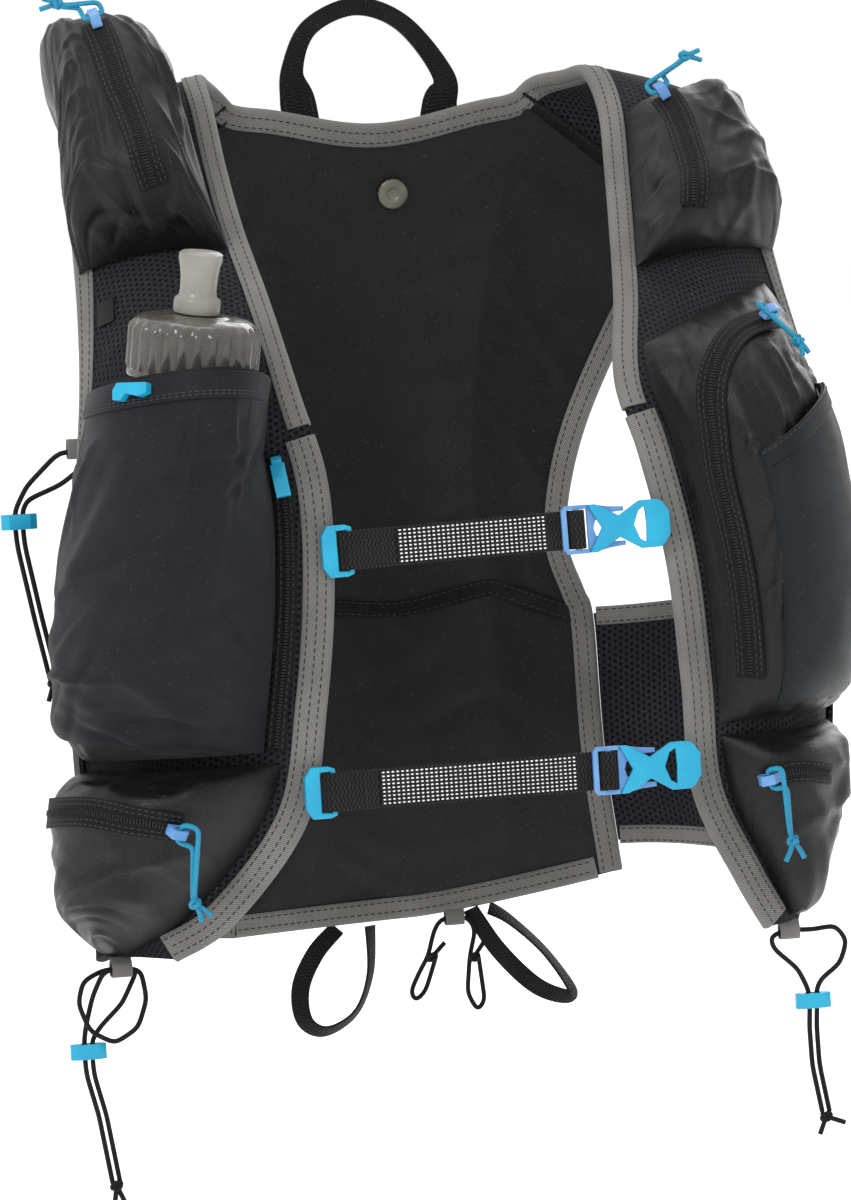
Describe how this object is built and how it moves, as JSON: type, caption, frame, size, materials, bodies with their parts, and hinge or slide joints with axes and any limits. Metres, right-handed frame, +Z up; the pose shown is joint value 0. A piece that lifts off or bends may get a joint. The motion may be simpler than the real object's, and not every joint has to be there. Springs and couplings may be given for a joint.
{
  "type": "running hydration vest",
  "caption": "Soft running vest in worn form with a flask, zipped chest pockets, sternum straps with side-release buckles and elastic hem cords.",
  "frame": {"origin": "middle of the line over the tops of the two shoulder straps, where the wearer's shoulders carry it", "axes": "+Z up, the wearer faces -Y, +X is the wearer's left and the right of the picture"},
  "size_m": [0.3373, 0.277, 0.4793],
  "materials": {
    "liner": "smooth dark liner",
    "mesh": "dark open mesh",
    "grey_tape": "grey twill tape",
    "zip_tape": "black zip with coil",
    "ripstop": "black light woven nylon",
    "webbing": "dark webbing with pale dots",
    "bright_trim": "bright cyan plastic and cord",
    "pale_trim": "sky blue plastic",
    "clear_plastic": "smoky translucent plastic",
    "snap_metal": "dull metal",
    "cord": "black elastic cord"
  },
  "bodies": {
    "root": {"back_panel": "liner", "front_panel_left": "mesh", "front_panel_right": "mesh", "neck_binding": "grey_tape", "arm_binding_left": "grey_tape", "arm_binding_right": "grey_tape", "hem_binding": "grey_tape", "rail_left": "grey_tape", "rail_right": "grey_tape", "side_panel_left": "mesh", "side_panel_right": "mesh", "flask_pocket": "ripstop", "lower_pocket_left": "ripstop", "chest_pocket": "ripstop", "stretch_pocket": "ripstop", "lower_pocket_right": "ripstop", "shoulder_pocket_left": "ripstop", "shoulder_pocket_right": "ripstop", "back_pocket": "ripstop", "zip_shoulder_left": "zip_tape", "zip_shoulder_right": "zip_tape", "zip_flask_pocket": "zip_tape", "zip_lower_left": "zip_tape", "zip_chest": "zip_tape", "zip_lower_right": "zip_tape", "slider_shoulder_left": "pale_trim", "pull_shoulder_left": "bright_trim", "slider_shoulder_right": "pale_trim", "pull_shoulder_right": "bright_trim", "slider_lower_left": "pale_trim", "pull_lower_left": "bright_trim", "slider_chest": "pale_trim", "pull_chest": "bright_trim", "slider_lower_right": "pale_trim", "pull_lower_right": "bright_trim", "slider_flask_pocket": "bright_trim", "flask_body": "clear_plastic", "flask_cap": "clear_plastic", "flask_valve": "clear_plastic", "mouth_hook": "bright_trim", "size_tab": "cord", "snap_disc": "snap_metal", "haul_loop": "webbing", "webbing_loop_left": "webbing", "webbing_loop_right": "webbing", "sternum_strap_upper": "webbing", "strap_clip_upper": "bright_trim", "buckle_male_upper": "pale_trim", "buckle_female_upper": "bright_trim", "sternum_strap_lower": "webbing", "strap_clip_lower": "bright_trim", "buckle_male_lower": "pale_trim", "buckle_female_lower": "bright_trim", "left_hem_cord": "cord", "right_hem_cord": "cord", "side_cord": "cord", "back_cord": "cord", "cord_lock_left": "bright_trim", "cord_lock_right": "bright_trim", "cord_lock_side": "bright_trim"}
  },
  "joints": []
}
